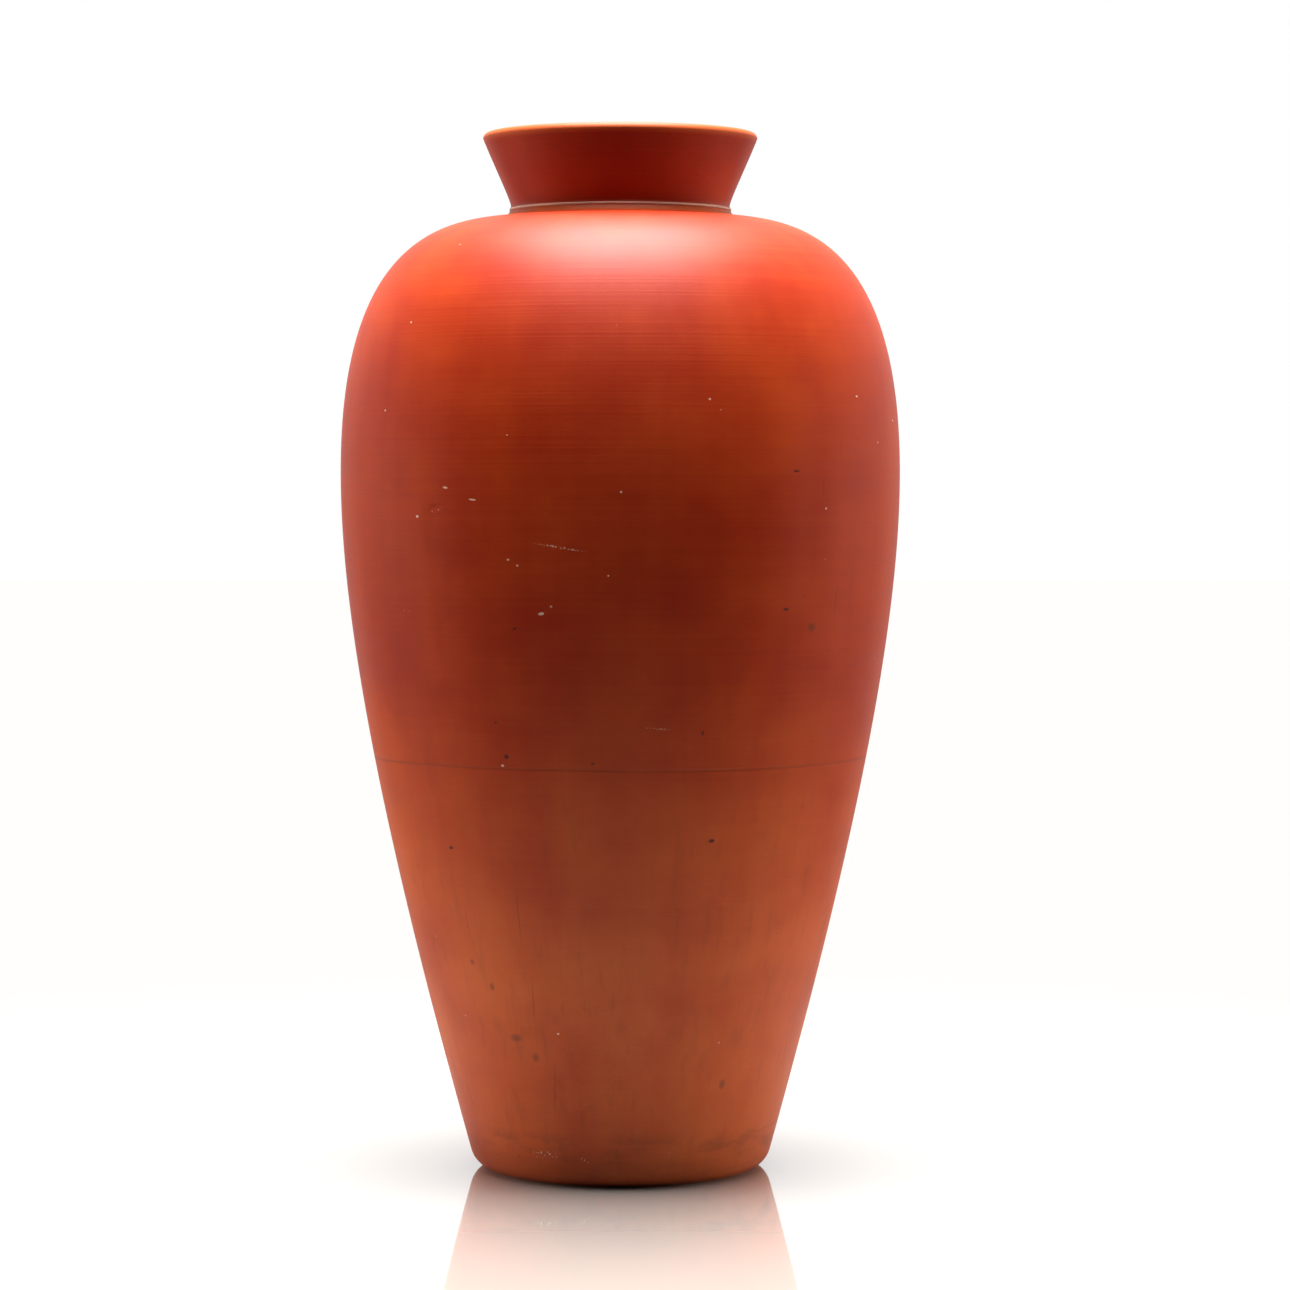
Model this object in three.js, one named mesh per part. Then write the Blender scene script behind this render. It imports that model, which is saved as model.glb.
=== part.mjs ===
import * as THREE from 'three';

// A tall earthenware floor vase, turned in four sections that are luted together.
// Millimetres, +Z up. The origin is the middle of the foot, on the floor.

// Driving dimensions of the outside.
const footRadius = 80;
const footEdge = 12.8;
const footLean = 15.5;
const lowerReach = 225.9;
const bellyRadius = 148.5;
const bellyHeight = 369.9;
const bellyBelow = 51.1;
const bellyAbove = 88.6;
const shoulderReach = 56.6;
const shoulderSlope = 1.4;
const neckRadius = 58;
const neckFillet = 6.2;
const narrowAbove = 2.4;
const beadHeight = 1.3;
const beadProud = 0.4;
const collarHeight = 41.1;
const lipRadius = 72.7;
const lipRound = 3;
const collarLean = 22.4;
const collarFootReach = 3;
const collarReach = 18;

// Driving dimensions of the walls and the joints.
const wall = 7;
const floorThickness = 10;
const floorCorner = 8;
const recessDepth = 3;
const recessRadius = 60;
const baseJointHeight = 20;
const bodyJointHeight = 222;
const neckJointHeight = 508.9;
const tongueHeight = 4;
const slip = 0.3;

// Fineness of the faceted surfaces.
const segments = 48;
const lowerSteps = 6;
const bellySteps = 6;
const shoulderSteps = 10;
const collarSteps = 5;
const arcSteps = 4;

const height = neckJointHeight + collarHeight;

const point = (radius, z) => new THREE.Vector2(radius, z);
const radians = THREE.MathUtils.degToRad;
const degrees = THREE.MathUtils.radToDeg;

// The outside from the foot's rounded edge up to the widest ring of the belly.
const lean = radians(footLean);
const wallStart = point(footRadius, footEdge * (1 - Math.sin(lean)));
const lowerCurve = new THREE.CubicBezierCurve(
  wallStart,
  point(wallStart.x + lowerReach * Math.sin(lean), wallStart.y + lowerReach * Math.cos(lean)),
  point(bellyRadius, bellyHeight - bellyBelow),
  point(bellyRadius, bellyHeight)
);

// The hollow round the neck is narrowest a little above the joint, which lies inside it.
const hollowCentre = point(neckRadius + neckFillet, neckJointHeight + narrowAbove);
const hollowRadius = (below) => hollowCentre.x - Math.sqrt(neckFillet ** 2 - below ** 2);

// The shoulder, from the widest ring in to the hollow.
const shoulderEnd = point(hollowCentre.x, hollowCentre.y - neckFillet);
const shoulderCurve = new THREE.CubicBezierCurve(
  point(bellyRadius, bellyHeight),
  point(bellyRadius, bellyHeight + bellyAbove),
  point(shoulderEnd.x + shoulderReach * Math.cos(radians(shoulderSlope)),
    shoulderEnd.y - shoulderReach * Math.sin(radians(shoulderSlope))),
  shoulderEnd
);

// The flared collar, from the narrowest ring out to the lip.
const collarEnd = point(lipRadius, height - lipRound);
const collarCurve = new THREE.CubicBezierCurve(
  point(neckRadius, hollowCentre.y),
  point(neckRadius, hollowCentre.y + collarFootReach),
  point(collarEnd.x - collarReach * Math.sin(radians(collarLean)),
    collarEnd.y - collarReach * Math.cos(radians(collarLean))),
  collarEnd
);

// A point of a curve, moved square to it into the clay by the given inset.
function insetPoint(curve, t, inset) {
  const tangent = curve.getTangent(t);
  const at = curve.getPoint(t);
  return point(at.x - inset * tangent.y, at.y + inset * tangent.x);
}

// Where on the inset curve the given height lies.
function parameterAt(curve, z, inset) {
  let low = 0;
  let high = 1;
  for (let halving = 0; halving < 50; halving++) {
    const middle = (low + high) / 2;
    if (insetPoint(curve, middle, inset).y < z) low = middle;
    else high = middle;
  }
  return (low + high) / 2;
}

// Points along an inset curve from one parameter to another.
function along(curve, from, to, steps, inset = 0) {
  const points = [];
  for (let step = 0; step <= steps; step++) {
    points.push(insetPoint(curve, from + (to - from) * step / steps, inset));
  }
  return points;
}

// Points of a round stretch about a centre, with its angles in degrees.
function arc(centre, radius, from, to, steps = arcSteps) {
  const points = [];
  for (let step = 0; step <= steps; step++) {
    const angle = radians(from + (to - from) * step / steps);
    points.push(point(centre.x + radius * Math.cos(angle), centre.y + radius * Math.sin(angle)));
  }
  return points;
}

// The inset curve cut at a height: its last point lies exactly on the plane of a joint.
function radiusAt(curve, z, inset = 0) {
  return insetPoint(curve, parameterAt(curve, z, inset), inset).x;
}

// A tongue and rebate in the middle of the wall, at the height of a joint.
function joint(z, outer, inner, innerTop) {
  const middle = (outer + inner) / 2;
  return {
    z,
    outer,
    top: z + tongueHeight,
    tongue: middle - slip / 2,
    rebate: middle + slip / 2,
    innerTop
  };
}

const baseJoint = joint(baseJointHeight, radiusAt(lowerCurve, baseJointHeight),
  radiusAt(lowerCurve, baseJointHeight, wall),
  radiusAt(lowerCurve, baseJointHeight + tongueHeight, wall));
const bodyJoint = joint(bodyJointHeight, radiusAt(lowerCurve, bodyJointHeight),
  radiusAt(lowerCurve, bodyJointHeight, wall),
  radiusAt(lowerCurve, bodyJointHeight + tongueHeight, wall));
const neckJoint = joint(neckJointHeight, hollowRadius(narrowAbove), neckRadius - wall, neckRadius - wall);

// The top of a section: a ledge, and the tongue that stands up inside it.
const tongue = (at) => [
  point(at.outer, at.z),
  point(at.tongue, at.z),
  point(at.tongue, at.top),
  point(at.innerTop, at.top)
];

// The bottom of a section: the rebate that drops over the tongue below.
const rebateStart = (at) => [point(at.rebate, at.z), point(at.outer, at.z)];
const rebateEnd = (at, inner) => [
  point(inner, at.top + slip),
  point(at.rebate, at.top + slip),
  point(at.rebate, at.z)
];

function turned(name, outline, colour) {
  const geometry = new THREE.LatheGeometry(outline, segments);
  geometry.rotateX(Math.PI / 2);
  const material = new THREE.MeshStandardMaterial({ color: colour, roughness: 0.55, metalness: 0 });
  const mesh = new THREE.Mesh(geometry, material);
  mesh.name = name;
  return mesh;
}

// The slab that closes the vase, with its rounded edge, turned recess and start of the wall.
function footBase() {
  const filletTop = floorThickness + floorCorner;
  const wallRadius = radiusAt(lowerCurve, filletTop, wall);
  return [
    point(0, recessDepth),
    point(recessRadius, recessDepth),
    point(recessRadius, 0),
    ...arc(point(footRadius - footEdge * Math.cos(lean), footEdge), footEdge, -90, -footLean),
    ...tongue(baseJoint),
    ...arc(point(wallRadius - floorCorner, filletTop), floorCorner, 0, -90),
    point(0, floorThickness)
  ];
}

function lowerBody() {
  const from = parameterAt(lowerCurve, baseJoint.z, 0);
  const to = parameterAt(lowerCurve, bodyJoint.z, 0);
  const innerFrom = parameterAt(lowerCurve, bodyJoint.top, wall);
  const innerTo = parameterAt(lowerCurve, baseJoint.top + slip, wall);
  return [
    ...rebateStart(baseJoint),
    ...along(lowerCurve, from, to, lowerSteps).slice(1, -1),
    ...tongue(bodyJoint),
    ...along(lowerCurve, innerFrom, innerTo, lowerSteps, wall).slice(1, -1),
    ...rebateEnd(baseJoint, radiusAt(lowerCurve, baseJoint.top + slip, wall))
  ];
}

function upperBody() {
  const from = parameterAt(lowerCurve, bodyJoint.z, 0);
  const innerTo = parameterAt(lowerCurve, bodyJoint.top + slip, wall);
  const jointTurn = degrees(Math.asin(narrowAbove / neckFillet));
  return [
    ...rebateStart(bodyJoint),
    ...along(lowerCurve, from, 1, bellySteps).slice(1),
    ...along(shoulderCurve, 0, 1, shoulderSteps).slice(1, -1),
    ...arc(hollowCentre, neckFillet, -90, jointTurn - 180).slice(0, -1),
    ...tongue(neckJoint),
    ...arc(hollowCentre, neckFillet + wall, -180, -90),
    ...along(shoulderCurve, 1, 0, shoulderSteps, wall).slice(1),
    ...along(lowerCurve, 1, innerTo, bellySteps, wall).slice(1, -1),
    ...rebateEnd(bodyJoint, radiusAt(lowerCurve, bodyJoint.top + slip, wall))
  ];
}

function neckCollar() {
  const lipCentre = point(lipRadius - lipRound, height - lipRound);
  const lipWall = 2 * lipRound;
  const innerFoot = neckRadius - wall;
  const innerFootTop = neckJoint.top + slip;
  const innerLip = lipRadius - lipWall;
  const inside = new THREE.CubicBezierCurve(
    point(innerLip, lipCentre.y),
    point(innerLip - collarReach * Math.sin(radians(collarLean)),
      lipCentre.y - collarReach * Math.cos(radians(collarLean))),
    point(innerFoot, innerFootTop + collarFootReach),
    point(innerFoot, innerFootTop)
  );
  return [
    ...rebateStart(neckJoint),
    point(neckJoint.outer + beadProud, neckJointHeight + beadHeight / 2),
    point(hollowRadius(narrowAbove - beadHeight), neckJointHeight + beadHeight),
    ...along(collarCurve, 0, 1, collarSteps).slice(0, -1),
    ...arc(lipCentre, lipRound, 0, 180, 2 * arcSteps),
    ...inside.getPoints(collarSteps).slice(1, -1),
    ...rebateEnd(neckJoint, innerFoot)
  ];
}

const group = new THREE.Group();
group.add(turned('foot_base', footBase(), 0x8a3c1e));
group.add(turned('lower_body', lowerBody(), 0xa34422));
group.add(turned('upper_body', upperBody(), 0xb04a26));
group.add(turned('neck_collar', neckCollar(), 0x9c3f1f));

export default group;
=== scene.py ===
import math
import bmesh
import bpy
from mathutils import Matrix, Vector


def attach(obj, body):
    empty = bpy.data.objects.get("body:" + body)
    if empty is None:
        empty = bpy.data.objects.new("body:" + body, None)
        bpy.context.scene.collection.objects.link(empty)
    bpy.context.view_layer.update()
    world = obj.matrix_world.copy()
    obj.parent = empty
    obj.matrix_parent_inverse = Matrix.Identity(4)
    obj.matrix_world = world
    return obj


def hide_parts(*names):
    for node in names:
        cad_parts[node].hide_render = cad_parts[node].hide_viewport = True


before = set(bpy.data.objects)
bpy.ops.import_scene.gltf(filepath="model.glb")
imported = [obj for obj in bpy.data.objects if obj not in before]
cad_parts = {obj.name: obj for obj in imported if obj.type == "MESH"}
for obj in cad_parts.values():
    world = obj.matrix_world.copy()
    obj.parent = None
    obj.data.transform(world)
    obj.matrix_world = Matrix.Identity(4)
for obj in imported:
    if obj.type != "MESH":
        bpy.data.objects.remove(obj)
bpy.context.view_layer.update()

# The outside and the walls of the vase, in metres, as in the construction.
vase = {
    "height": 0.550,
    "footRadius": 0.080,
    "footEdge": 0.0128,
    "footLean": 15.5,
    "lowerReach": 0.2259,
    "bellyRadius": 0.1485,
    "bellyHeight": 0.3699,
    "bellyBelow": 0.0511,
    "bellyAbove": 0.0886,
    "shoulderReach": 0.0566,
    "shoulderSlope": 1.4,
    "neckRadius": 0.058,
    "neckFillet": 0.0062,
    "narrowAbove": 0.0024,    # from the joint up to the narrowest ring of the neck
    "beadHeight": 0.0013,
    "beadProud": 0.0004,
    "lipRadius": 0.0727,
    "lipRound": 0.003,
    "collarLean": 22.4,
    "collarFootReach": 0.003,
    "collarReach": 0.018,
    "wall": 0.007,
    "floor": 0.010,
    "floorCorner": 0.008,
    "recessDepth": 0.003,
    "recessRadius": 0.060,
    "baseJoint": 0.020,
    "bodyJoint": 0.222,
    "neckJoint": 0.5089,
    "recessSlope": 0.002,     # how much the recess widens towards the floor
    "turns": 192,             # faces round the vase
    "lowerSteps": 120,
    "shoulderSteps": 80,
    "edgeSteps": 14,
    "cornerSteps": 8,
    "hollowSteps": 8,
    "hollowInsideSteps": 12,
    "collarSteps": 40,
    "lipSteps": 20,
    "beadTurn": 20,           # degrees between the rings of the bead
    "weldDistance": 0.000002,
    "sharpAngle": 35,
}


def bezier(a, b, c, d, steps):
    points = []
    for step in range(steps + 1):
        t = step / steps
        s = 1 - t
        points.append(a * s ** 3 + b * 3 * t * s * s + c * 3 * t * t * s + d * t ** 3)
    return points


def arc(centre, radius, start, end, steps):
    points = []
    for step in range(steps + 1):
        angle = math.radians(start + (end - start) * step / steps)
        points.append(centre + Vector((math.cos(angle), math.sin(angle))) * radius)
    return points


def leaning(length, degrees):
    return Vector((math.sin(math.radians(degrees)), math.cos(math.radians(degrees)))) * length


def hollowCentre(v):
    return Vector((v["neckRadius"] + v["neckFillet"], v["neckJoint"] + v["narrowAbove"]))


def bodyCurve(v):  # from the foot's edge, over the belly, to the hollow under the neck
    foot = Vector((v["footRadius"], v["footEdge"] * (1 - math.sin(math.radians(v["footLean"])))))
    belly = Vector((v["bellyRadius"], v["bellyHeight"]))
    hollow = hollowCentre(v) - Vector((0, v["neckFillet"]))
    slope = math.radians(v["shoulderSlope"])
    lower = bezier(foot, foot + leaning(v["lowerReach"], v["footLean"]),
                   belly - Vector((0, v["bellyBelow"])), belly, v["lowerSteps"])
    upper = bezier(belly, belly + Vector((0, v["bellyAbove"])),
                   hollow + Vector((math.cos(slope), -math.sin(slope))) * v["shoulderReach"],
                   hollow, v["shoulderSteps"])
    return lower + upper[1:]


def insetCurve(points, inset):  # the same curve, moved square to itself into the clay
    moved = []
    for index, here in enumerate(points):
        before = points[max(index - 1, 0)]
        after = points[min(index + 1, len(points) - 1)]
        along = (after - before).normalized()
        moved.append(here + Vector((-along.y, along.x)) * inset)
    return moved


def between(points, low, high):  # the stretch of a rising curve between two heights
    cut = []
    for here, there in zip(points, points[1:]):
        for z in (low, high):
            if here.y < z <= there.y:
                cut.append(here.lerp(there, (z - here.y) / (there.y - here.y)))
        if low < there.y < high:
            cut.append(there)
    return sorted(cut, key=lambda p: p.y)


def turnedPiece(name, outline, closed):
    mesh = bpy.data.meshes.new(name)
    bm = bmesh.new()
    rings = [bm.verts.new((p.x, 0, p.y)) for p in outline]
    pairs = list(zip(rings, rings[1:]))
    if closed:
        pairs.append((rings[-1], rings[0]))
    edges = [bm.edges.new(pair) for pair in pairs]
    bmesh.ops.spin(bm, geom=rings + edges, cent=(0, 0, 0), axis=(0, 0, 1), dvec=(0, 0, 0),
                   angle=2 * math.pi, steps=vase["turns"], use_merge=True, use_duplicate=False)
    bmesh.ops.remove_doubles(bm, verts=bm.verts, dist=vase["weldDistance"])
    bmesh.ops.recalc_face_normals(bm, faces=bm.faces)
    for face in bm.faces:
        face.smooth = True
    for edge in bm.edges:
        edge.smooth = edge.calc_face_angle(0) < math.radians(vase["sharpAngle"])
    bm.to_mesh(mesh)
    bm.free()
    piece = bpy.data.objects.new(name, mesh)
    bpy.context.scene.collection.objects.link(piece)
    return piece


def buildPieces(v):
    outside = bodyCurve(v)
    inside = insetCurve(outside, v["wall"])
    edgeReach = v["footEdge"] * math.cos(math.radians(v["footLean"]))
    edgeCentre = Vector((v["footRadius"] - edgeReach, v["footEdge"]))
    cornerTop = v["floor"] + v["floorCorner"]
    wallInside = between(inside, v["floorCorner"], cornerTop)[-1].x
    corner = Vector((wallInside - v["floorCorner"], cornerTop))
    base = ([Vector((0, v["recessDepth"])), Vector((v["recessRadius"], v["recessDepth"])),
             Vector((v["recessRadius"] + v["recessSlope"], 0))]
            + arc(edgeCentre, v["footEdge"], -90, -v["footLean"], v["edgeSteps"])
            + between(outside, outside[0].y, v["baseJoint"])
            + between(inside, cornerTop, v["baseJoint"])[::-1]
            + arc(corner, v["floorCorner"], 0, -90, v["cornerSteps"])[1:] + [Vector((0, v["floor"]))])
    lowerOut = between(outside, v["baseJoint"], v["bodyJoint"])
    lowerIn = between(inside, v["baseJoint"], v["bodyJoint"])
    hollow = hollowCentre(v)
    turnOut = math.degrees(math.asin(v["narrowAbove"] / v["neckFillet"])) - 180
    turnIn = math.degrees(math.asin(v["narrowAbove"] / (v["neckFillet"] + v["wall"]))) - 180
    neckOut = arc(hollow, v["neckFillet"], -90, turnOut, v["hollowSteps"])
    neckIn = arc(hollow, v["neckFillet"] + v["wall"], turnIn, -90, v["hollowInsideSteps"])
    shoulderOut = [p for p in outside if p.y > v["bodyJoint"]]
    shoulderIn = [p for p in inside if p.y > v["bodyJoint"]]
    upper = (lowerOut[-1:] + shoulderOut + neckOut[1:] + neckIn
             + shoulderIn[::-1][1:] + lowerIn[-1:])
    beadCentre = neckOut[-1] + Vector((0, v["beadHeight"] / 2))
    bead = [Vector((beadCentre.x + math.cos(math.radians(a)) * v["beadProud"],
                    beadCentre.y + math.sin(math.radians(a)) * v["beadHeight"] / 2))
            for a in range(-90, 91, v["beadTurn"])]
    lipCentre = Vector((v["lipRadius"] - v["lipRound"], v["height"] - v["lipRound"]))
    lipOut = lipCentre + Vector((v["lipRound"], 0))
    lipIn = lipCentre - Vector((v["lipRound"], 0))
    lean = leaning(v["collarReach"], v["collarLean"])
    narrowOut = hollow - Vector((v["neckFillet"], 0))
    narrowIn = narrowOut - Vector((v["wall"], 0))
    up = Vector((0, v["collarFootReach"]))
    collar = (bead + bezier(narrowOut, narrowOut + up, lipOut - lean, lipOut, v["collarSteps"])
              + arc(lipCentre, v["lipRound"], 0, 180, v["lipSteps"])[1:-1]
              + bezier(lipIn, lipIn - lean, narrowIn + up, narrowIn, v["collarSteps"]) + neckIn[:1])
    return {
        "footBaseClay": turnedPiece("footBaseClay", base, False),
        "lowerBodyClay": turnedPiece("lowerBodyClay", lowerOut + lowerIn[::-1], True),
        "upperBodyClay": turnedPiece("upperBodyClay", upper, True),
        "neckCollarClay": turnedPiece("neckCollarClay", collar, True),
    }


class Value:  # a socket that takes part in sums
    def __init__(self, shader, socket):
        self.shader = shader
        self.socket = socket

    def maths(self, operation, first, second=0.0):
        return self.shader.node("ShaderNodeMath", {"operation": operation}, {0: first, 1: second})

    def __add__(self, other):
        return self.maths("ADD", self, other)

    def __radd__(self, other):
        return self.maths("ADD", other, self)

    def __sub__(self, other):
        return self.maths("SUBTRACT", self, other)

    def __rsub__(self, other):
        return self.maths("SUBTRACT", other, self)

    def __mul__(self, other):
        return self.maths("MULTIPLY", self, other)

    def __rmul__(self, other):
        return self.maths("MULTIPLY", other, self)

    def larger(self, other):
        return self.maths("MAXIMUM", self, other)

    def output(self, index):
        return Value(self.shader, self.socket.node.outputs[index])


class Shader:
    def __init__(self, tree):
        self.tree = tree
        self.tree.nodes.clear()

    def node(self, kind, settings, inputs, output=0):
        made = self.tree.nodes.new(kind)
        for key, value in settings.items():
            setattr(made, key, value)
        for key, value in inputs.items():
            if isinstance(value, Value):
                self.tree.links.new(value.socket, made.inputs[key])
            else:
                made.inputs[key].default_value = value
        return Value(self, made.outputs[output]) if len(made.outputs) else None

    def noise(self, place, stretch, scale, detail, rough=0.55):
        moved = self.node("ShaderNodeMapping", {}, {"Vector": place, "Scale": stretch})
        return self.node("ShaderNodeTexNoise", {}, {
            "Vector": moved, "Scale": scale, "Detail": detail, "Roughness": rough})

    def blend(self, amount, first, second):
        return self.node("ShaderNodeMix", {"data_type": "RGBA"}, {0: amount, 6: first, 7: second}, 2)

    def ramp(self, value, low, high, start=0.0, end=1.0):
        return self.node("ShaderNodeMapRange", {"interpolation_type": "SMOOTHSTEP"}, {
            "Value": value, "From Min": low, "From Max": high, "To Min": start, "To Max": end})

    def patch(self, place, where, halfSizes, tilt, soft):  # an oval on the wall
        moved = self.node("ShaderNodeMapping", {"vector_type": "TEXTURE"}, {
            "Vector": place, "Location": where[0], "Rotation": (0, math.radians(tilt), where[1]),
            "Scale": halfSizes})
        length = self.node("ShaderNodeVectorMath", {"operation": "LENGTH"}, {0: moved}, 1)
        return self.ramp(length, 1.0, 1.0 - soft)


# Marks on the clay: degrees round the vase (-90 faces the camera), height, half width and
# half height in millimetres, and the tilt in degrees, right end down.
marks = {
    "specks": [
        (-140, 446.7, 0.77, 0.6, 0), (-72, 406.7, 0.72, 0.6, 0), (-34, 409.2, 1.21, 0.54, 0),
        (-15, 397.5, 1.43, 0.6, 0), (-26, 385.8, 0.66, 0.6, 0), (-89.5, 360.6, 0.61, 0.66, 0),
        (-45, 352.1, 0.77, 0.6, 0), (-92, 319.0, 0.55, 0.48, 0), (-108.3, 83.4, 0.77, 0.48, 0),
        (-144.3, 402, 0.72, 0.66, 0), (-116.5, 222.6, 0.99, 0.72, 0),
        (-133.6, 348.1, 1.21, 0.78, 0), (-126, 362.7, 1.76, 0.6, 8), (-119.6, 356.7, 2.48, 0.48, 6),
        (-112.1, 326.8, 0.88, 0.54, 0), (-110.2, 323.9, 0.72, 0.54, 0),
        (-105.6, 299.9, 1.87, 0.84, -8), (-103.5, 303.5, 0.77, 0.48, 0), (37, 371, 0.88, 0.6, 0),
        (88, 299, 1.1, 0.66, 0), (121, 431, 0.72, 0.6, 0), (158, 188, 0.83, 0.6, 0),
        (12, 142, 0.77, 0.54, 0), (66, 96, 0.66, 0.6, 0),
    ],
    "scratches": [
        (-101.6, 333.1, 16.5, 0.7, 9), (-81.5, 242.1, 8.6, 0.45, 5), (-139, 300, 3.6, 0.4, 6),
        (74, 341, 14.0, 0.6, -12), (133, 260, 9.0, 0.5, 7), (14, 217, 7.0, 0.5, 4),
    ],
    "darkSpots": [
        (-115.3, 227.3, 1.65, 1.5, 0), (-117.2, 244.5, 0.98, 0.75, 0),
        (-95.7, 224.5, 0.98, 0.68, 0), (-111.3, 292.3, 1.5, 0.68, -20),
        (-134.7, 178.3, 1.8, 1.2, 0), (-67.8, 184.3, 2.1, 1.27, 0), (-71.8, 239.7, 0.68, 1.65, 8),
        (-53.1, 370.9, 2.55, 0.75, 0), (-54.3, 301.4, 2.1, 0.98, 0), (55, 251, 1.5, 1.2, 0),
        (102, 186, 1.27, 0.98, 0), (143, 329, 1.12, 1.12, 0), (20, 306, 1.65, 0.75, 0),
    ],
    "drips": [
        (-128.4, 106.1, 2.0, 3.2, 0), (-122.6, 79.8, 4.6, 3.0, 0), (-116.5, 69.9, 2.6, 3.2, 0),
        (-134.4, 118.4, 2.2, 2.0, 0), (-55, 54.6, 2.6, 3.6, 0), (-47, 291.9, 4.0, 3.0, 0),
        (48, 83, 3.0, 4.0, 0), (96, 63, 3.6, 3.0, 0), (151, 101, 2.4, 3.6, 0), (3, 71, 2.2, 3.0, 0),
    ],
    "dents": [
        (-128.6, 352.7, 5.6, 2.6, -6), (-104.8, 301.5, 3.6, 2.2, 0), (52, 318, 4.4, 2.4, 8),
        (117, 372, 3.8, 2.6, 0),
    ],
    "scuffs": [
        (-117.6, 17.4, 11.0, 3.2, 0), (-103.0, 15.6, 4.0, 2.6, 0), (-72.0, 21.0, 5.0, 2.4, 0),
        (-128.4, 350.6, 6.2, 1.6, -6), (28, 18.0, 8.0, 3.0, 0), (131, 20.0, 7.0, 3.2, 0),
    ],
    "streaks": [
        (-116.5, 146, 0.54, 24.0, 0), (-115.0, 101, 0.48, 19.0, 3), (-111.3, 52, 0.48, 25.0, 6),
        (-133.6, 138, 0.54, 11.0, 0), (-40.3, 304, 0.54, 15.0, 2), (-40.4, 381, 0.54, 10.0, 0),
        (-45.8, 362, 0.48, 8.0, 0), (-50.0, 308, 1.68, 0.6, 24), (-140, 390, 0.48, 9.0, 0),
        (61, 143, 0.54, 27.0, -2), (109, 121, 0.48, 21.0, 3), (30, 342, 0.54, 13.0, 1),
        (128, 368, 0.48, 11.0, -2),
    ],
}

clay = {
    "dark": (0.290, 0.0150, 0.0006, 1),
    "light": (0.410, 0.0400, 0.0024, 1),
    # also the colour of the painted highlight on the lip and the painted light in the hollow under the
    # collar
    "tanAndPaintedLight": (0.480, 0.1120, 0.0260, 1),
    # also the painted shade on the collar
    "soilAndPaintedShade": (0.085, 0.0260, 0.0100, 1),
    # also the painted highlight on the bead
    "pale": (0.720, 0.5000, 0.3600, 1),
    "burnt": (0.032, 0.0100, 0.0060, 1),
    "bare": (0.420, 0.1250, 0.0520, 1),
    "roughness": 0.37,         # of the smoothest clay
    "specular": 0.19,
    "ringStrength": 0.5,
    "ringDepth": 0.00022,
    "creaseHeight": 0.2205,
    "tanBelow": 0.34,       # where the wall begins to turn paler and tan towards the foot
    "tanFully": 0.12,
    "soiledBelow": 0.042,
    "soiledFully": 0.018,
    "splashHeight": 0.0205,
    "toneRange": (0.36, 0.64),
    "cloud": ((1, 1, 1.6), 11, 5),             # stretch, scale and detail of each noise
    "wide": ((1, 1, 0.7), 4, 2),
    "wash": ((34, 34, 3.2), 1.0, 4),
    "turning": ((4, 4, 1150), 1.0, 3, 0.6),    # the fine rings left by the wheel
    "grain": ((1, 1, 1), 1400, 2),
    "smears": ((190, 190, 9), 1.0, 3),
    "splash": ((1, 1, 2.6), 44, 5),
    "fleck": ((1, 1, 1), 900, 2),
    "pitScale": 75,
    "markDepth": 0.012,        # how far a mark reaches into the wall
    "spotDepth": 0.9,
    "dentDepth": 2.5,
    "creaseDepth": 0.8,
}


def wallPlace(degrees, millimetres, outline):  # a point on the wall, and its turn about the axis
    z = millimetres / 1000
    below = max((p for p in outline if p.y <= z), key=lambda p: p.y)
    turn = math.radians(degrees)
    return (below.x * math.cos(turn), below.x * math.sin(turn), z), turn + math.pi / 2


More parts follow.
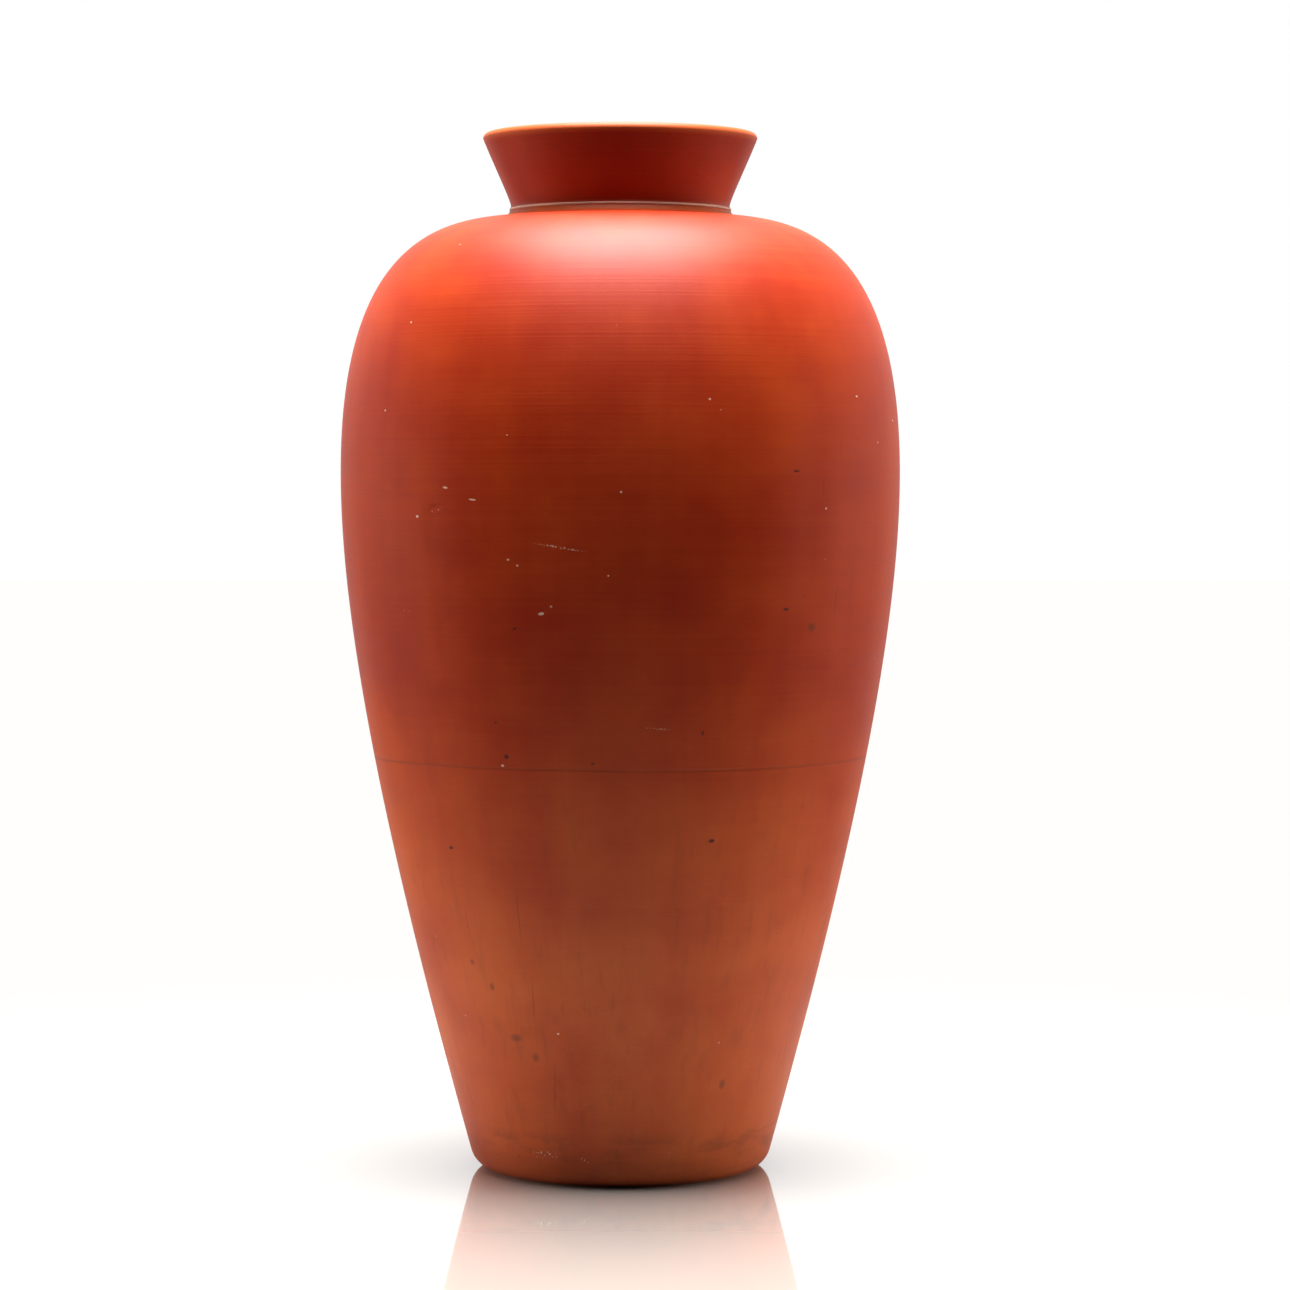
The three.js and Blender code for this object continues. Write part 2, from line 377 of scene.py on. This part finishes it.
def clayMaterial(name, outline, low, high):  # the clay of one piece, between two heights
    material = bpy.data.materials.new(name)
    material.use_nodes = True
    s = Shader(material.node_tree)
    place = s.node("ShaderNodeTexCoord", {}, {}, 3)
    height = s.node("ShaderNodeSeparateXYZ", {}, {"Vector": place}, 2)
    cloud = s.noise(place, *clay["cloud"])
    wide = s.noise(place, *clay["wide"])
    wash = s.noise(place, *clay["wash"])
    turning = s.noise(place, *clay["turning"])
    grain = s.noise(place, *clay["grain"])

    def gathered(kind, soft):  # the marks of one kind that touch this piece
        whole = 0.0
        for degrees, millimetres, halfWidth, halfHeight, tilt in marks[kind]:
            if low * 1000 - halfHeight < millimetres < high * 1000 + halfHeight:
                halfSizes = (halfWidth / 1000, clay["markDepth"], halfHeight / 1000)
                one = s.patch(place, wallPlace(degrees, millimetres, outline), halfSizes, tilt, soft)
                whole = one.larger(whole)
        return whole

    def nearHeight(middle, far, near):  # a level line round the piece
        away = s.node("ShaderNodeMath", {"operation": "ABSOLUTE"}, {0: height - middle})
        return s.ramp(away, far, near)

    tone = s.ramp(cloud * 0.40 + wide * 0.28 + turning * 0.12 + wash * 0.20, *clay["toneRange"])
    colour = s.blend(tone, clay["dark"], clay["light"])
    roughness = clay["roughness"] + cloud * 0.14 + turning * 0.12
    if low < clay["tanBelow"]:
        # the wall turns paler and tan towards the foot, with dark smears over it
        lowerTan = s.ramp(height + wide * 0.05, clay["tanBelow"], clay["tanFully"])
        colour = s.blend(lowerTan * (cloud * 0.8 + wash * 0.5 - 0.2), colour, clay["tanAndPaintedLight"])
        smears = s.ramp(s.noise(place, *clay["smears"]), 0.50, 0.75) * lowerTan
        colour = s.blend(smears * 0.20, colour, clay["soilAndPaintedShade"])
    if low < clay["soiledBelow"]:
        soiled = s.ramp(height + cloud * 0.03, clay["soiledBelow"], clay["soiledFully"])
        colour = s.blend(soiled * (0.15 + turning * 0.2), colour, clay["soilAndPaintedShade"])
        patches = s.ramp(s.noise(place, *clay["splash"]), 0.44, 0.66)
        splash = nearHeight(clay["splashHeight"], 0.010, 0.004) * patches
        colour = s.blend(splash * 0.35, colour, clay["soilAndPaintedShade"])
        under = s.ramp(height, 0.0006, 0.0002)
        colour = s.blend(under, colour, clay["bare"])
        roughness = roughness + soiled * 0.06 + under * 0.2
    hollowFoot = vase["neckJoint"] + vase["narrowAbove"] - vase["neckFillet"]
    if high > vase["neckJoint"] + vase["beadHeight"]:
        lipHighlight = s.ramp(height, vase["height"] - 2 * vase["lipRound"], vase["height"] - vase["lipRound"])
        # painted shade: the whole collar, which faces down and lies in shade, darkened towards the dark
        # soil colour, all but its lip
        colour = s.blend(0.2 - lipHighlight * 0.2, colour, clay["soilAndPaintedShade"])
        # painted highlight: the top of the lip made paler, where it catches the light
        colour = s.blend(lipHighlight * 0.5, colour, clay["tanAndPaintedLight"])
        # painted highlight: a pale line round the bead, where it catches the light from above
        bead = nearHeight(vase["neckJoint"] + vase["beadHeight"] / 2, 0.0009, 0.0004)
        colour = s.blend(bead * 0.75, colour, clay["pale"])
    # painted light: the hollow under the collar, which the collar shades, made paler from its foot
    # upwards
    if low < hollowFoot < high:
        colour = s.blend(s.ramp(height, hollowFoot, hollowFoot + 0.0015) * 0.45, colour, clay["tanAndPaintedLight"])

    spots = gathered("darkSpots", 0.45)
    streaks = gathered("streaks", 0.8) * (0.25 + grain * 0.3)
    colour = s.blend(gathered("drips", 0.7) * 0.55, colour, clay["soilAndPaintedShade"])
    colour = s.blend(streaks + spots * 0.85, colour, clay["burnt"])
    cells = s.node("ShaderNodeTexVoronoi", {}, {
        "Vector": place, "Scale": clay["pitScale"], "Randomness": 1})
    chance = s.node("ShaderNodeSeparateColor", {}, {"Color": cells.output(1)})
    pits = s.ramp(cells, 0.060, 0.030) * s.ramp(chance, 0.16, 0.14)
    colour = s.blend(pits * 0.5, colour, clay["burnt"])
    dust = s.ramp(cells, 0.040, 0.020) * s.ramp(chance, 0.80, 0.82)
    rubs = gathered("scratches", 0.7) * s.ramp(grain, 0.52, 0.60)
    fleck = s.ramp(s.noise(place, *clay["fleck"]), 0.60, 0.66)
    scuffs = gathered("scuffs", 0.8) * fleck
    pale = rubs.larger(gathered("specks", 0.4)).larger(dust * 0.6).larger(scuffs * 0.8)
    colour = s.blend(pale * 0.85, colour, clay["pale"])

    dents = gathered("dents", 1.0)
    relief = turning * 0.6 + grain * 0.35 - spots * clay["spotDepth"] - dents * clay["dentDepth"]
    if low < clay["creaseHeight"] < high:
        crease = nearHeight(clay["creaseHeight"] + 0.003 - wide * 0.006, 0.0011, 0.0002)
        colour = s.blend(crease * cloud * 0.5, colour, clay["soilAndPaintedShade"])
        relief = relief - crease * clay["creaseDepth"]
    bump = s.node("ShaderNodeBump", {}, {
        "Strength": clay["ringStrength"], "Distance": clay["ringDepth"], "Height": relief})
    surface = s.node("ShaderNodeBsdfPrincipled", {}, {
        "Base Color": colour, "Roughness": roughness, "Specular IOR Level": clay["specular"],
        "Normal": bump})
    s.node("ShaderNodeOutputMaterial", {}, {"Surface": surface})
    return material


pieces = buildPieces(vase)
print("pieces turned:", ", ".join(pieces))
wallCurve = bodyCurve(vase)
for pieceName, nodeName, slotName in (("footBaseClay", "foot_base", "foot_clay"),
                                      ("lowerBodyClay", "lower_body", "body_clay"),
                                      ("upperBodyClay", "upper_body", "body_clay"),
                                      ("neckCollarClay", "neck_collar", "body_clay")):
    piece = pieces[pieceName]
    heights = [vertex.co.z for vertex in piece.data.vertices]
    piece.data.materials.append(clayMaterial(pieceName, wallCurve, min(heights), max(heights)))
    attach(piece, "root")
    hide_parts(nodeName)
print("clay laid on")

studio = {
    "lens": 110.46,
    "sensor": 36,
    "camera": (0.0131, -2.109, 0.3673),
    "pitch": 2.41,
    "floorSize": 12.0,
    "floorNear": (0.54, 0.52, 0.49, 1),       # as the vase sees it
    "floorFar": (0.06, 0.06, 0.06, 1),
    "floorFade": (0.24, 0.50),
    "floorSeen": (0.58, 0.53, 0.48, 1),       # as the camera sees it
    "floorRoughness": 0.05,
    "floorCoat": 1.0,
    "floorWhite": (0.44, 0.85),               # where it fades to plain white
    "floorEdge": (1, 0.99, 0.97, 1),
    "roomTurn": (-0.05, 0.60),                # from the camera's side to the back
    "roomBack": 1.0,
    "roomFront": 0.010,
    "lookAt": (0.0, 0.0, 0.30),
    "lamps": {
        "leftBox": ((-1.55, 0.32, 0.10), (1.0, 0.8), 28, False),
        "leftGlint": ((-1.55, 0.32, 0.10), (1.0, 0.8), 8, True),
        "rightBox": ((1.55, 0.32, 0.10), (1.0, 0.8), 28, False),
        "rightGlint": ((1.55, 0.32, 0.10), (1.0, 0.8), 8, True),
        "topBox": ((0.0, -0.05, 1.60), (0.9, 0.95), 97, True),
    },
}


def buildFloor(v):
    mesh = bpy.data.meshes.new("floorSheet")
    bm = bmesh.new()
    bmesh.ops.create_grid(bm, x_segments=1, y_segments=1, size=v["floorSize"])
    bm.to_mesh(mesh)
    bm.free()
    floor = bpy.data.objects.new("floorSheet", mesh)
    bpy.context.scene.collection.objects.link(floor)
    material = bpy.data.materials.new("floorGloss")
    material.use_nodes = True
    s = Shader(material.node_tree)
    camera = s.node("ShaderNodeLightPath", {}, {})
    place = s.node("ShaderNodeTexCoord", {}, {}, 3)
    away = s.node("ShaderNodeVectorMath", {"operation": "LENGTH"}, {0: place}, 1)
    near = s.blend(s.ramp(away, *v["floorFade"]), v["floorNear"], v["floorFar"])
    gloss = s.node("ShaderNodeBsdfPrincipled", {}, {
        "Base Color": s.blend(camera, near, v["floorSeen"]), "Roughness": v["floorRoughness"],
        "Specular IOR Level": v["floorCoat"], "Coat Weight": v["floorCoat"],
        "Coat Roughness": v["floorRoughness"]})
    white = s.node("ShaderNodeEmission", {}, {"Color": v["floorEdge"], "Strength": 1.0})
    fading = camera * s.ramp(away, *v["floorWhite"])
    both = s.node("ShaderNodeMixShader", {}, {0: fading, 1: gloss, 2: white})
    s.node("ShaderNodeOutputMaterial", {}, {"Surface": both})
    mesh.materials.append(material)


def buildRoom(v):  # white behind the vase, dim on the camera's side, white where the camera looks
    world = bpy.data.worlds.new("room")
    world.use_nodes = True
    s = Shader(world.node_tree)
    direction = s.node("ShaderNodeTexCoord", {}, {}, 0)
    depth = s.node("ShaderNodeSeparateXYZ", {}, {"Vector": direction}, 1)
    light = s.ramp(depth, *v["roomTurn"], v["roomFront"], v["roomBack"])
    seen = s.node("ShaderNodeLightPath", {}, {})
    room = s.node("ShaderNodeBackground", {}, {"Color": (1, 1, 1, 1), "Strength": light.larger(seen)})
    s.node("ShaderNodeOutputWorld", {}, {"Surface": room})
    bpy.context.scene.world = world


def buildLamps(v):
    for name, (place, size, power, glint) in v["lamps"].items():
        lamp = bpy.data.lights.new(name, "AREA")
        lamp.shape = "RECTANGLE"
        lamp.size, lamp.size_y = size
        lamp.energy = power
        holder = bpy.data.objects.new(name, lamp)
        holder.location = place
        holder.visible_glossy = glint
        holder.rotation_euler = (Vector(place) - Vector(v["lookAt"])).to_track_quat("Z", "Y").to_euler()
        bpy.context.scene.collection.objects.link(holder)


def buildCamera(v):
    lens = bpy.data.cameras.new("camera")
    lens.lens = v["lens"]
    lens.sensor_width = v["sensor"]
    lens.clip_end = 100
    camera = bpy.data.objects.new("camera", lens)
    camera.location = v["camera"]
    camera.rotation_euler = (math.radians(90 - v["pitch"]), 0, 0)
    bpy.context.scene.collection.objects.link(camera)
    bpy.context.scene.camera = camera


buildFloor(studio)
buildRoom(studio)
buildLamps(studio)
buildCamera(studio)
bpy.context.scene.view_settings.view_transform = "Standard"
print("studio set")
